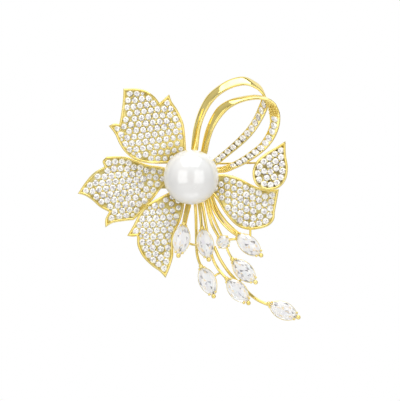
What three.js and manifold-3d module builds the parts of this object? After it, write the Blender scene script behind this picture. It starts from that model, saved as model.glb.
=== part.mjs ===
// Flower spray brooch. A half-drilled pearl sits in a cup over five pave-set petals, a two-loop ribbon and a
// spray of marquise stones on wires. Behind it a pin bar carries a riveted pin stem and a safety catch.
//
// Millimetres, +Z up as worn. The front faces -Y and the garment lies at +Y. The origin is the centre of the
// pin bar's flat rear face. The flower is laid out in its own group, whose Y axis is the axis of the pearl.
import * as THREE from "three";
import { mergeVertices } from "three/addons/utils/BufferGeometryUtils.js";
import Module from "manifold-3d";

const wasm = await Module();
wasm.setup();

// ---- driving dimensions ---------------------------------------------------------------------------------
const FLOWER_AXIS = [2, 0, 1.3]; // pearl axis as seen from the middle of the pin bar
const CLEAR = 0.05; // gap between two soldered or seated neighbours
const SLIVER = 0.02; // the largest departure allowed when thin triangles are merged

const PEARL_R = 6;
const PEARL_Y = -8.6;
const DRILL_R = 0.5;
const DRILL_FLOOR = 2; // floor of the drilled hole, behind the pearl's centre
const CUP_R = 3.3;
const CUP_WALL = 0.25;

const BAR_LENGTH = 24;
const BAR_WIDTH = 2.4;
const BAR_THICK = 1;
const LAND_HALF = 8.2; // the flat land that bears on the garment ends here, at the seats of hinge and catch
const SEAT_DEPTH = 0.3;
const POST_R = 0.8;
const POST_HEIGHT = 3.5;

const PLATE_R = 4.9;
const PLATE_THICK = 0.8;
const PLATE_REAR = -BAR_THICK - CLEAR;
const PLATE_FRONT = PLATE_REAR - PLATE_THICK;

const PETAL_THICK = 0.9;
const RIM_RAISE = 0.3; // how far the rim stands proud of the stone bed
const RIM_WIDTH = 0.6;
const PETAL_BASE_Y = -2.9; // front of the stone bed where a petal leaves the plate
const PETAL_BASE_R = 3.5;
const PETAL_RISE_R = 9; // a petal has risen fully this far out from its base
const PETAL_ROLL = 0.01; // how fast a petal's sides roll back, per mm squared off its middle line
const OUTLINE_STEP = 1.25;

const RIBBON_THICK = 0.5;
const RIBBON_CROWN = 0.18;
const RIBBON_STEPS = 40;

const STONE_LENGTH = 6.8;
const STONE_WIDTH = 3.7;
const STONE_FULLNESS = 1.5; // 1 would make the outline an ellipse, and more draws its ends to finer points
const STONE_CROWN = 0.55;
const STONE_GIRDLE = 0.12;
const STONE_PAVILION = 1.3;
const ROUND_R = 1.4;
const RAIL_DEPTH = 0.6;
const RAIL_WALL = 0.28;
const CLAW_R = 0.42;

const PIN_Y = 3; // height of the pin stem's centre line behind the bar
const PIN_R = 0.42;
const HINGE_X = -10.4;
const CATCH_X = 10.4;
const RIVET_R = 0.38;
const KNUCKLE_R = 0.95;
const KNUCKLE_HALF = 0.6;
const EAR_THICK = 0.5;
const FOOT_THICK = 0.5;
const HOUSING_R = [1.25, 1.75];
const HOUSING_LENGTH = 1.8;
const ROTOR_R = [0.75, 1.15];
const FLANGE_R = 1.5;
const FLANGE_THICK = 0.4;
const MOUTH = 1.2; // width of the slot that lets the pin stem in
const TAB_REACH = 3;

// ---- materials ------------------------------------------------------------------------------------------
const gold = new THREE.MeshStandardMaterial({ color: 0xe0b04a, roughness: 0.2, metalness: 1 });
const pearlWhite = new THREE.MeshStandardMaterial({ color: 0xf2f0ec, roughness: 0.25, metalness: 0 });
const crystal = new THREE.MeshStandardMaterial({ color: 0xf4f6fa, roughness: 0.05, metalness: 0 });

// ---- solids ---------------------------------------------------------------------------------------------
function solid(geometry) {
  const bare = geometry.clone();
  bare.deleteAttribute("normal");
  bare.deleteAttribute("uv");
  const merged = mergeVertices(bare, 1e-4);
  return new wasm.Manifold(
    new wasm.Mesh({
      numProp: 3,
      vertProperties: merged.attributes.position.array,
      triVerts: new Uint32Array(merged.index.array),
    }),
  );
}

function geometryOf(body) {
  const mesh = body.getMesh();
  const geometry = new THREE.BufferGeometry();
  geometry.setAttribute("position", new THREE.BufferAttribute(mesh.vertProperties, 3));
  geometry.setIndex(new THREE.BufferAttribute(mesh.triVerts, 1));
  return geometry;
}

const join = (...bodies) => bodies.reduce((a, b) => a.add(b));

// Cuts tools away, merges slivers and keeps the largest body that is left.
function trim(body, ...tools) {
  const cut = tools.reduce((a, b) => a.subtract(b), body);
  const pieces = cut.simplify(SLIVER).decompose();
  return pieces.reduce((a, b) => (a.volume() > b.volume() ? a : b));
}

// Skins a list of closed rings, each with the same number of points, and closes both ends with a fan.
function loft(rings) {
  const count = rings[0].length;
  const middle = (ring) => ring.reduce((sum, p) => sum.add(p), new THREE.Vector3()).divideScalar(count);
  const points = [...rings.flat(), middle(rings[0]), middle(rings.at(-1))];
  const [start, end] = [points.length - 2, points.length - 1];
  const faces = [];
  for (let j = 0; j < count; j++) {
    const next = (j + 1) % count;
    faces.push([start, next, j]);
    faces.push([end, (rings.length - 1) * count + j, (rings.length - 1) * count + next]);
    for (let i = 0; i + 1 < rings.length; i++) {
      const [a, b, c, d] = [i * count + j, i * count + next, (i + 1) * count + next, (i + 1) * count + j];
      faces.push([a, b, c], [a, c, d]);
    }
  }
  const volume = faces.reduce((v, [a, b, c]) => v + points[a].dot(points[b].clone().cross(points[c])), 0);
  if (volume < 0) faces.forEach((face) => face.reverse());
  return new THREE.BufferGeometry().setFromPoints(points).setIndex(faces.flat());
}

// A round wire through points given as [x, y, z].
function wire(points, radius, steps = points.length * 3, sides = 4) {
  const section = new THREE.Shape().absarc(0, 0, radius, 0, 2 * Math.PI, true);
  const path = new THREE.CatmullRomCurve3(points.map((p) => new THREE.Vector3(...p)));
  const options = { extrudePath: path, steps, curveSegments: sides, bevelEnabled: false };
  return new THREE.ExtrudeGeometry(section, options);
}

const lathe = (profile, segments) =>
  new THREE.LatheGeometry(profile.map((p) => new THREE.Vector2(...p)), segments);

// Places a ball of the given radius at [x, y, z].
const ball = (at, radius) => new THREE.SphereGeometry(radius, 8, 6).translate(...at);

const root = new THREE.Group();
const flower = new THREE.Group();
flower.position.set(...FLOWER_AXIS);
root.add(flower);

function add(parent, name, geometry, material) {
  const mesh = new THREE.Mesh(geometry, material);
  mesh.name = name;
  parent.add(mesh);
  return mesh;
}

// ---- petals ---------------------------------------------------------------------------------------------
// An outline is a list of edges in [x, z], each a smooth curve from one corner of the petal to the next. The
// last edge is the short one that lies on the plate. centre is the point that the rings of the bed close on,
// axis is the petal's middle line, and rise is how far forward the petal climbs on its way out.
const PETALS = {
  petal_upper_left: {
    centre: [-9, 10.5], axis: [-0.62, 0.785], rise: 3,
    edges: [
      [[-1.1, 4.3], [-1.15, 6.8], [-1.35, 9.5], [-1.75, 12], [-3, 14.7], [-4.2, 16.5], [-4.8, 18.1]],
      [[-4.8, 18.1], [-5.8, 17.2], [-6.9, 16.2]],
      [[-6.9, 16.2], [-8.1, 17.7], [-10, 18.9], [-12.2, 19.35], [-14.8, 19.3]],
      [[-14.8, 19.3], [-14.9, 17], [-15.3, 13.8], [-15.7, 11.6]],
      [[-15.7, 11.6], [-16.8, 11.7], [-18, 11.2]],
      [[-18, 11.2], [-16.6, 9.3], [-15.6, 7.1], [-14, 5], [-11.6, 3.5], [-8.5, 2.95], [-4.2, 2.95]],
      [[-4.2, 2.95], [-2.8, 3.4], [-1.1, 4.3]],
    ],
  },
  petal_left: {
    centre: [-14, -2], axis: [-0.99, -0.13], rise: 0.9,
    edges: [
      [[-4.5, 1.9], [-7, 2.4], [-9.5, 2.75], [-12, 3.7], [-13.9, 4.4], [-16, 4.6], [-18.5, 4.5]],
      [[-18.5, 4.5], [-19.4, 3.5], [-19, 2.35]],
      [[-19, 2.35], [-21.4, 0.9], [-23.3, -1.3], [-24.8, -3.6]],
      [[-24.8, -3.6], [-23.2, -4.05], [-21.7, -5], [-19.9, -6.6], [-18, -7.6]],
      [[-18, -7.6], [-18.8, -9.2], [-18.8, -11]],
      [[-18.8, -11], [-17.2, -10.05], [-15, -9.65], [-12.6, -9.4]],
      [[-12.6, -9.4], [-10.8, -7.7], [-8.6, -5.2], [-6.9, -2.9], [-5.6, -1.3], [-4.6, -0.5]],
      [[-4.6, -0.5], [-4.2, 0.7], [-4.5, 1.9]],
    ],
  },
  petal_lower_left: {
    centre: [-7.5, -11.5], axis: [-0.45, -0.893], rise: 3,
    edges: [
      [[-4.1, -2.9], [-5.2, -3.5], [-7.5, -4.7], [-9.8, -6.1], [-11.4, -8.1], [-12.7, -10.6], [-14, -12.8]],
      [[-14, -12.8], [-12.9, -13], [-11.85, -12.9]],
      [[-11.85, -12.9], [-11.7, -15], [-10.6, -17.3], [-8.7, -19.3], [-6.9, -20.6], [-5.6, -22]],
      [[-5.6, -22], [-4.6, -19.6], [-3.9, -17.1], [-3.9, -14.3], [-3.4, -11.8], [-2.4, -9.7], [-1.7, -7.2],
        [-1.4, -4.7]],
      [[-1.4, -4.7], [-2.8, -3.9], [-4.1, -2.9]],
    ],
  },
  petal_right: {
    centre: [12, -5.5], axis: [0.9, -0.436], rise: 2,
    edges: [
      [[4.3, 0.5], [6, 0.65], [8, 0.55], [10.5, -0.2], [13, -1.5], [15, -2.3], [17.2, -2.7], [19.2, -2.6]],
      [[19.2, -2.6], [18.8, -4.8], [18.35, -7.2], [18.1, -9.2], [16.9, -10.6], [14.8, -11.3], [12.3, -11.5],
        [9.8, -10.5], [7.4, -7.9], [5.7, -5.1], [4, -3.1]],
      [[4, -3.1], [4.3, -1.3], [4.3, 0.5]],
    ],
  },
};

// The lobe of the right petal that folds over in front of it. It leans back towards its tip.
const CURL = {
  centre: [17.3, 1.2], foldZ: -2.8, foldY: -6.6, lean: 0.14, cup: 0.02,
  edges: [
    [[20.6, 7.9], [18.6, 6.6], [16.2, 5.2], [14.2, 3.4], [13.35, 1.2], [13.8, -1.2], [15.3, -2.5],
      [17.2, -2.85],
      [19.3, -2.2], [20.7, -0.4], [21.1, 2], [20.7, 4.8], [20.6, 7.9]],
  ],
};

// Front of a petal's stone bed at x, z.
function petalY(petal, x, z) {
  const out = Math.min(1, Math.max(0, (Math.hypot(x, z) - PETAL_BASE_R) / PETAL_RISE_R));
  const across = z * petal.axis[0] - x * petal.axis[1];
  return PETAL_BASE_Y - petal.rise * Math.sin((out * Math.PI) / 2) + PETAL_ROLL * across * across;
}

function curlY(curl, x, z) {
  const across = x - curl.centre[0];
  return curl.foldY + curl.lean * (z - curl.foldZ) - curl.cup * across * across;
}

// Points all round an outline, closer than OUTLINE_STEP, with each corner kept.
function outlinePoints(edges) {
  return edges.flatMap((edge) => {
    const curve = new THREE.SplineCurve(edge.map((p) => new THREE.Vector2(...p)));
    const count = Math.ceil(curve.getLength() / OUTLINE_STEP);
    return curve.getSpacedPoints(count).slice(0, -1);
  });
}

// A cast petal: stone bed in front, a raised rim all round and a smooth back. Each ring is the outline drawn in
// towards the centre by a distance or by a share, at a depth behind the front of the bed.
function petalGeometry(petal, yAt) {
  const outline = outlinePoints(petal.edges);
  const centre = new THREE.Vector2(...petal.centre);
  const ring = ({ share = 0, inset = 0, depth }) =>
    outline.map((p) => {
      const q = p.clone().lerp(centre, share);
      q.add(centre.clone().sub(q).setLength(inset));
      return new THREE.Vector3(q.x, yAt(petal, q.x, q.y) + depth, q.y);
    });
  return loft([
    ring({ share: 0.75, depth: 0 }),
    ring({ share: 0.4, depth: 0 }),
    ring({ inset: RIM_WIDTH + 0.1, depth: 0 }),
    ring({ inset: RIM_WIDTH - 0.1, depth: -RIM_RAISE }),
    ring({ inset: 0.12, depth: -RIM_RAISE }),
    ring({ depth: PETAL_THICK / 3 }),
    ring({ inset: 0.35, depth: PETAL_THICK }),
    ring({ share: 0.6, depth: PETAL_THICK }),
  ]);
}

const petals = {};
for (const [name, petal] of Object.entries(PETALS)) {
  const geometry = petalGeometry(petal, petalY);
  petals[name] = solid(geometry);
  add(flower, name, geometry, gold);
}
const curlGeometry = petalGeometry(CURL, curlY);
add(flower, "petal_right_curl", curlGeometry, gold);

// ---- pearl, cup and plate -------------------------------------------------------------------------------
function arc(radius, fromR, toR, side, count) {
  const angle = (r) => Math.asin(r / radius);
  return Array.from({ length: count + 1 }, (_, i) => {
    const a = angle(fromR) + ((angle(toR) - angle(fromR)) * i) / count;
    return [radius * Math.sin(a), side * radius * Math.cos(a)];
  });
}

function pearlGeometry() {
  const front = arc(PEARL_R, 0, PEARL_R, -1, 7);
  const rear = arc(PEARL_R, PEARL_R, DRILL_R, 1, 7).slice(1);
  return lathe([...front, ...rear, [DRILL_R, DRILL_FLOOR], [0, DRILL_FLOOR]], 24);
}

// A dish that hugs the back of the pearl, with the peg that goes up its drilled hole.
function cupGeometry() {
  const pegR = DRILL_R - CLEAR;
  const bowlR = PEARL_R + CLEAR;
  const base = PLATE_FRONT - PEARL_Y - CLEAR;
  const bowl = arc(bowlR, pegR, CUP_R, 1, 5);
  const rim = bowl.at(-1);
  return lathe(
    [[0, DRILL_FLOOR + CLEAR], [pegR, DRILL_FLOOR + CLEAR], ...bowl, [CUP_R + CUP_WALL, rim[1] + 0.2],
      [CUP_R - 0.2, base - 0.5], [CUP_R - 0.9, base], [0, base]],
    24,
  );
}

function plateGeometry() {
  const bevel = 0.2;
  return lathe(
    [[0, PLATE_FRONT], [PLATE_R - bevel, PLATE_FRONT], [PLATE_R, PLATE_FRONT + bevel],
      [PLATE_R, PLATE_REAR - bevel], [PLATE_R - bevel, PLATE_REAR], [0, PLATE_REAR]],
    28,
  );
}

add(flower, "pearl", pearlGeometry(), pearlWhite).position.y = PEARL_Y;
add(flower, "pearl_cup", cupGeometry(), gold).position.y = PEARL_Y;
add(flower, "centre_plate", plateGeometry(), gold);

// ---- ribbon ---------------------------------------------------------------------------------------------
// Each station gives the ribbon's front edge and its back edge, both as [x, y, z].
const RIBBONS = {
  ribbon_back: [
    [[0.9, -2.7, 4.3], [-0.2, -2.3, 4.4]],
    [[1.35, -3.1, 6.2], [0, -2.4, 6.2]],
    [[1.6, -3.8, 8.4], [0.2, -2.7, 8.4]],
    [[2, -4.4, 10.9], [0.6, -3.1, 10.9]],
    [[2.9, -4.9, 13.6], [1.35, -3.4, 13.5]],
    [[4.2, -5.2, 15.9], [2.4, -3.6, 16]],
    [[5.9, -5.4, 17.8], [3.9, -3.8, 18.2]],
    [[8, -5.4, 19.2], [6.1, -3.8, 20]],
    [[10.3, -5.2, 20], [8.7, -3.7, 21.4]],
    [[12.5, -5, 20.1], [11.4, -3.4, 21.9]],
    [[14.5, -4.6, 19.2], [13.6, -3, 21]],
    [[16, -4.1, 17.5], [15.3, -2.6, 19.6]],
    [[16.7, -3.7, 15.6], [15.6, -2.3, 17.5]],
    [[16.2, -3.4, 13.9], [14.9, -2.1, 15.5]],
    [[15.2, -3.2, 12], [14, -2, 13.4]],
    [[13.9, -3.1, 10], [12.7, -2, 11.2]],
    [[12.3, -3.1, 8.2], [11.1, -2, 9.3]],
    [[10.4, -3.1, 6.5], [9.3, -2.1, 7.5]],
    [[8.4, -3, 4.9], [7.4, -2.2, 5.8]],
    [[6.6, -2.9, 3.4], [5.6, -2.3, 4.4]],
    [[4.9, -2.8, 2.1], [4, -2.4, 3]],
  ],
  ribbon_front: [
    [[2.9, -2.7, 3.6], [1.9, -2.3, 4]],
    [[3.4, -3.4, 5.6], [2.2, -2.6, 6]],
    [[4, -4.7, 8.3], [2.65, -3.5, 8.3]],
    [[4.9, -5.8, 10.7], [3.4, -4.4, 10.9]],
    [[6.2, -6.5, 12.8], [4.45, -5, 13.2]],
    [[7.9, -7, 14.7], [5.9, -5.4, 15.3]],
    [[9.9, -7.3, 16], [8.1, -5.7, 16.7]],
    [[12.4, -7.4, 16.85], [11, -5.8, 17.45]],
    [[14.9, -7.3, 17.1], [14, -5.7, 17.8]],
    [[17.2, -7, 16.7], [16, -5.3, 17.2]],
    [[18.7, -6.6, 15.3], [16.9, -4.9, 15.5]],
    [[19.35, -6.2, 13.2], [17.2, -4.7, 13.6]],
    [[19.1, -5.8, 10.8], [17.3, -4.5, 11.7]],
    [[18.1, -5.4, 8.4], [16.6, -4.2, 9.6]],
    [[16.6, -5, 6.4], [15.2, -3.9, 7.4]],
    [[14.6, -4.5, 4.7], [13.3, -3.5, 5.8]],
    [[12.2, -4, 3.15], [11.2, -3.1, 4.3]],
    [[9.8, -3.5, 1.95], [9, -2.8, 3.1]],
    [[7.4, -3.1, 1.05], [6.8, -2.5, 2.2]],
    [[4.9, -2.8, 1], [4.7, -2.4, 1.9]],
  ],
};

// A thin ribbon between two edges, crowned on both faces.
function ribbonGeometry(stations) {
  const curves = [0, 1].map((side) =>
    new THREE.CatmullRomCurve3(stations.map((station) => new THREE.Vector3(...station[side]))));
  const rings = [];
  for (let i = 0; i <= RIBBON_STEPS; i++) {
    const t = i / RIBBON_STEPS;
    const [front, back] = curves.map((curve) => curve.getPoint(t));
    const width = back.clone().sub(front);
    const along = curves[0].getTangent(t).add(curves[1].getTangent(t));
    const out = along.cross(width).normalize();
    const at = (share, lift) => front.clone().addScaledVector(width, share).addScaledVector(out, lift);
    const [edge, crown] = [RIBBON_THICK / 2 - RIBBON_CROWN / 2, RIBBON_THICK / 2 + RIBBON_CROWN / 2];
    rings.push([at(0, -edge), at(0, edge), at(0.5, crown), at(1, edge), at(1, -edge), at(0.5, -crown)]);
  }
  return loft(rings);
}

for (const [name, stations] of Object.entries(RIBBONS)) {
  add(flower, name, ribbonGeometry(stations), gold);
}

// ---- marquise and round stones with their settings ------------------------------------------------------
// Seen from the front, a marquise is drawn to a point at both ends. Local X is the length.
function marquiseRing(halfLength, halfWidth, y, count) {
  return Array.from({ length: count }, (_, i) => {
    const a = (2 * Math.PI * i) / count;
    const x = halfLength * Math.cos(a);
    const z = halfWidth * Math.sign(Math.sin(a)) * Math.abs(Math.sin(a)) ** STONE_FULLNESS;
    return new THREE.Vector3(x, y, z);
  });
}

function roundRing(radius, y, count) {
  return Array.from({ length: count }, (_, i) => {
    const a = (2 * Math.PI * i) / count;
    return new THREE.Vector3(radius * Math.cos(a), y, radius * Math.sin(a));
  });
}

// A cut stone: table, crown, girdle and a pavilion that ends in a small culet. grow adds to every side.
function stoneGeometry(ring, length, width, grow = 0) {
  const [l, w] = [length / 2 + grow, width / 2 + grow];
  const size = (share, y) => ring(l * share, w * share, y);
  return loft([
    size(0.55, -STONE_CROWN - grow),
    size(0.82, -STONE_CROWN * 0.5 - grow),
    size(1, 0),
    size(1, STONE_GIRDLE),
    size(0.55, STONE_GIRDLE + STONE_PAVILION * 0.5 + grow),
    size(0.06, STONE_GIRDLE + STONE_PAVILION + grow),
  ]);
}

const marquiseStone = (grow) =>
  stoneGeometry((l, w, y) => marquiseRing(l, w, y, 16), STONE_LENGTH, STONE_WIDTH, grow);
const roundStone = (grow) => stoneGeometry((l, w, y) => roundRing(l, y, 16), 2 * ROUND_R, 2 * ROUND_R, grow);

// The rail that runs round under the girdle, as a solid band with the stone's seat cut out of it later.
function rail(ring, halfLength, halfWidth) {
  const [top, bottom] = [STONE_GIRDLE + CLEAR, STONE_GIRDLE + RAIL_DEPTH];
  const outer = [ring(halfLength, halfWidth, top), ring(halfLength - 0.25, halfWidth - 0.25, bottom)];
  const inner = [
    ring(halfLength - RAIL_WALL, halfWidth - RAIL_WALL, top - 1),
    ring(halfLength - RAIL_WALL - 0.35, halfWidth - RAIL_WALL - 0.35, bottom + 1),
  ];
  return solid(loft(outer)).subtract(solid(loft(inner)));
}

// A claw: a post from the rail to a rounded tip that laps over the stone's edge.
function claw(x, z, lap) {
  const length = Math.hypot(x, z);
  const inward = [(-x / length) * lap, (-z / length) * lap];
  const foot = [x, STONE_GIRDLE + RAIL_DEPTH * 0.7, z];
  const post = wire([foot, [x + inward[0], -0.35, z + inward[1]]], CLAW_R * 0.75, 1, 3);
  return join(solid(post), solid(ball([x + inward[0], -0.3, z + inward[1]], CLAW_R)));
}

function marquiseSetting() {
  const [l, w] = [STONE_LENGTH / 2, STONE_WIDTH / 2];
  const band = rail((a, b, y) => marquiseRing(a, b, y, 16), l + 0.12, w + 0.12);
  const claws = [claw(l + 0.1, 0, 0.05), claw(-l - 0.1, 0, 0.05)];
  return trim(join(band, ...claws), solid(marquiseStone(CLEAR)));
}

function roundSetting() {
  const band = rail((a, b, y) => roundRing(a, y, 16), ROUND_R + 0.12, ROUND_R + 0.12);
  const claws = [45, 135, 225, 315].map((degrees) => {
    const a = THREE.MathUtils.degToRad(degrees);
    return claw((ROUND_R + 0.05) * Math.cos(a), (ROUND_R + 0.05) * Math.sin(a), 0.1);
  });
  return trim(join(band, ...claws), solid(roundStone(CLEAR)));
}

// Where each stone's girdle is centred, and the direction of its length, in degrees from +X towards +Z.
const MARQUISES = {
  marquise_1: { at: [-2.15, -7.1, -13.6], turn: -99.5, tilt: 6 },
  marquise_2: { at: [3.05, -5.3, -14.5], turn: -78, tilt: -5 },
  marquise_3: { at: [3.55, -4.1, -22.7], turn: -67, tilt: 7 },
  marquise_4: { at: [12.55, -4.7, -14.75], turn: -41, tilt: -6 },
  marquise_5: { at: [10.15, -4.8, -24.8], turn: -48, tilt: 6 },
  marquise_6: { at: [20.15, -4, -29.15], turn: -24.5, tilt: -6 },
  marquise_7: { at: [11.5, -5, -20.45], turn: -44.5, tilt: -4 },
};
const ROUND_STONE = { at: [7, -4.5, -14.15], turn: 10, tilt: 0 };

// Turns a stone or setting from its own axes to its place in the flower.
function placed({ at, turn, tilt }) {
  const rotation = new THREE.Euler(THREE.MathUtils.degToRad(tilt), THREE.MathUtils.degToRad(-turn), 0, "YXZ");
  return new THREE.Matrix4().makeRotationFromEuler(rotation).setPosition(...at);
}

// What a wire stops against: the hull of each setting, which takes in its stone.
const seated = [];
function addStone(name, place, stone, setting) {
  const matrix = placed(place);
  const settingGeometry = geometryOf(setting).applyMatrix4(matrix);
  add(flower, `${name}_stone`, stone(0).applyMatrix4(matrix), crystal);
  add(flower, `${name}_setting`, settingGeometry, gold);
  seated.push(join(solid(settingGeometry), solid(stone(0).applyMatrix4(matrix))).hull());
}

const marquiseSettingShape = marquiseSetting();
for (const [name, place] of Object.entries(MARQUISES)) {
  addStone(name, place, marquiseStone, marquiseSettingShape);
}
addStone("round", ROUND_STONE, roundStone, roundSetting());

// ---- wires of the spray ---------------------------------------------------------------------------------
const STEMS = {
  stem_1: {
    r: 0.62,
    path: [[-0.3, -2.5, -4.4], [-0.75, -3.8, -6.6], [-1.25, -5.3, -8.8], [-1.55, -6.6, -10.6]],
  },
  stem_2: { r: 0.36, path: [[1.5, -2.4, -4.3], [1.9, -3.6, -7.2], [2.3, -4.8, -11.2]] },
  stem_3: {
    r: 0.32,
    path: [[0.75, -2.3, -4.5], [1, -2.8, -8], [1.1, -2.9, -12], [1.15, -2.9, -15.5], [1.5, -3.1, -17.8],
      [2.2, -3.7, -19.6]],
  },
  stem_4: { r: 0.33, path: [[2.85, -2.3, -3.7], [3.5, -2.9, -6.6], [4.5, -3.4, -10.2], [6, -3.9, -13.1]] },
  stem_5: {
    r: 0.38,
    path: [[3.75, -2.4, -3], [4.9, -3, -6.8], [6.6, -3.5, -9.6], [8.4, -4, -11.5], [10.2, -4.3, -12.8]],
  },
  stem_6: {
    r: 0.32,
    path: [[2.15, -2.3, -4.2], [2.75, -2.7, -7.6], [3.3, -2.8, -11], [4, -2.8, -15], [4.8, -2.9, -18],
      [6, -3.2, -20.2], [8, -4.3, -22.5]],
  },
  stem_7: {
    r: 0.34,
    path: [[5.05, -4.1, -15.2], [6.3, -3.5, -17.9], [8, -3, -20.5], [9.6, -2.7, -22.3], [11.4, -2.6, -24.1],
      [13, -2.8, -25.7], [14.8, -3.1, -27], [17.4, -3.7, -28.1]],
  },
  stem_8: { r: 0.28, path: [[3.3, -2.3, -3.35], [4.25, -3, -7.2], [5.3, -3.4, -9.9], [6.7, -3.9, -12.9]] },
  stem_9: {
    r: 0.28,
    path: [[4.1, -2.3, -2.5], [5.5, -2.9, -6.5], [7.3, -3.4, -9.3], [9.1, -3.9, -11.2], [10.8, -4.3, -12.6]],
  },
};

const stems = [];
for (const [name, { r, path }] of Object.entries(STEMS)) {
  const stem = trim(solid(wire(path, r)), ...seated, ...stems);
  stems.push(stem);
  add(flower, name, geometryOf(stem), gold);
}

// Short struts that tie the spray together, soldered between the pieces that they meet.
const STRUTS = {
  strut_1: { r: 0.24, path: [[-0.6, -6.6, -14.4], [0.3, -5, -14.7], [1.1, -3, -14.8]] },
  strut_2: { r: 0.22, path: [[5, -3.7, -21.7], [5.7, -3.4, -21.2], [6.6, -3.4, -20.9]] },
  strut_3: { r: 0.24, path: [[8.1, -4.3, -13.7], [9.2, -4.5, -13.55], [10.6, -4.7, -13.6]] },
  strut_4: { r: 0.26, path: [[7.7, -4.2, -15.2], [8.3, -4.3, -16.7], [9.4, -4.6, -18.5]] },
  strut_5: { r: 0.24, path: [[12.9, -4.3, -11], [12.9, -4.3, -12.2], [12.9, -4.4, -13.4]] },
  strut_6: { r: 0.22, path: [[11.2, -4.5, -22], [10.8, -3.7, -22.5], [10.2, -2.7, -22.9]] },
  curl_wire: {
    r: 0.2,
    path: [[4, -1.45, 3], [7, -1.45, 3], [10, -1.6, 3.05], [12.6, -2.6, 3.1], [14.8, -5.2, 3.1]],
  },
};

const fixed = [...seated, ...stems, ...Object.values(petals), solid(curlGeometry), solid(plateGeometry())];
for (const [name, { r, path }] of Object.entries(STRUTS)) {
  add(flower, name, geometryOf(trim(solid(wire(path, r)), ...fixed)), gold);
}

// ---- pin bar --------------------------------------------------------------------------------------------
// A box from its lowest to its highest corner.
function block(low, high) {
  const size = high.map((h, i) => h - low[i]);
  return new THREE.BoxGeometry(...size).translate(...low.map((l, i) => l + size[i] / 2));
}

function cylinder(radius, length, axis, segments = 24) {
  const geometry = new THREE.CylinderGeometry(radius, radius, length, segments);
  if (axis === "x") geometry.rotateZ(Math.PI / 2);
  if (axis === "z") geometry.rotateX(Math.PI / 2);
  return geometry;
}

// A flat strip with round ends, a seat at each end and two posts that reach the petals in front.
function pinBar() {
  const [half, r] = [BAR_LENGTH / 2, BAR_WIDTH / 2];
  const outline = new THREE.Shape();
  outline.absarc(half - r, 0, r, -Math.PI / 2, Math.PI / 2, false);
  outline.absarc(r - half, 0, r, Math.PI / 2, (3 * Math.PI) / 2, false);
  const stripOptions = { depth: BAR_THICK, curveSegments: 8, bevelEnabled: false };
  const strip = new THREE.ExtrudeGeometry(outline, stripOptions);
  const seats = [-1, 1].map((side) => {
    const [inner, outer] = [side * LAND_HALF, side * (half + 1)];
    const low = [Math.min(inner, outer), -SEAT_DEPTH, -BAR_WIDTH];
    return solid(block(low, [Math.max(inner, outer), 1, BAR_WIDTH]));
  });
  const posts = [-9.5, 10].map((x) =>
    solid(cylinder(POST_R, POST_HEIGHT, "y", 12).translate(x, -BAR_THICK + 0.1 - POST_HEIGHT / 2, 0)));
  const inFlower = FLOWER_AXIS.map((v) => -v);
  const bar = join(trim(solid(strip.rotateX(Math.PI / 2)), ...seats), ...posts).translate(inFlower);
  return trim(bar, ...Object.values(petals)).translate(FLOWER_AXIS);
}

add(root, "pin_bar", geometryOf(pinBar()), gold);

// ---- hinge and pin stem ---------------------------------------------------------------------------------
const SEAT_Y = -SEAT_DEPTH + CLEAR;

function hingeBracket() {
  const inner = KNUCKLE_HALF + CLEAR;
  const outer = inner + EAR_THICK;
  const foot = solid(block([-1.2, SEAT_Y, -outer], [1.6, SEAT_Y + FOOT_THICK, outer]));
  const profile = new THREE.Shape();
  profile.moveTo(1.5, SEAT_Y + 0.1);
  profile.absarc(0, PIN_Y, 1.05, 0, Math.PI, false);
  profile.lineTo(-1.1, SEAT_Y + 0.1);
  const earOptions = { depth: EAR_THICK, curveSegments: 10, bevelEnabled: false };
  const ears = [inner, -inner - EAR_THICK].map((z) =>
    solid(new THREE.ExtrudeGeometry(profile, earOptions).translate(0, 0, z)));
  return trim(join(foot, ...ears), solid(cylinder(RIVET_R + CLEAR, 6, "z").translate(0, PIN_Y, 0)));
}

// The rivet, with a domed head outside each ear.
function rivetGeometry() {
  const head = KNUCKLE_HALF + EAR_THICK + 2 * CLEAR;
  const profile = [[0, -head - 0.3], [0.45, -head - 0.25], [0.65, -head], [RIVET_R, -head]];
  const mirrored = profile.map(([r, y]) => [r, -y]).reverse();
  return lathe([...profile, ...mirrored], 20).rotateX(Math.PI / 2);
}

// Knuckle and needle. The needle runs along +X and tapers to its point past the catch.
function pinStem() {
  const reach = CATCH_X - HINGE_X + 1.9;
  const taper = reach * 0.72;
  const shank = [[0, 0], [PIN_R, 0], [PIN_R, taper], [PIN_R * 0.7, taper + 4]];
  const profile = [...shank, [0.06, reach - 0.1], [0, reach]];
  const needle = lathe(profile, 12);
  const body = join(solid(cylinder(KNUCKLE_R, 2 * KNUCKLE_HALF, "z")), solid(needle.rotateZ(-Math.PI / 2)));
  return trim(body, solid(cylinder(RIVET_R + 1.4 * CLEAR, 4, "z")));
}

add(root, "hinge_bracket", geometryOf(hingeBracket()), gold).position.x = HINGE_X;
add(root, "hinge_rivet", rivetGeometry(), gold).position.set(HINGE_X, PIN_Y, 0);
add(root, "pin_stem", geometryOf(pinStem()), gold).position.set(HINGE_X, PIN_Y, 0);

// ---- safety catch ---------------------------------------------------------------------------------------
// A block that cuts the mouth from the bore out towards +Y.
const mouth = (length) => solid(block([-length, 0, -MOUTH / 2], [length, 4, MOUTH / 2]));

function catchHousing() {
  const half = HOUSING_LENGTH / 2;
  const drop = SEAT_Y - PIN_Y;
  const barrel = solid(cylinder(HOUSING_R[1], HOUSING_LENGTH, "x", 28));
  const neck = solid(block([-half, drop, -0.9], [half, 0, 0.9]));
  const foot = solid(block([-half - 0.7, drop, -1.1], [half + 0.5, drop + FOOT_THICK, 1.1]));
  const bore = solid(cylinder(HOUSING_R[0], 4, "x", 28));
  return trim(join(barrel, neck, foot), bore, mouth(2));
}

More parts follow.
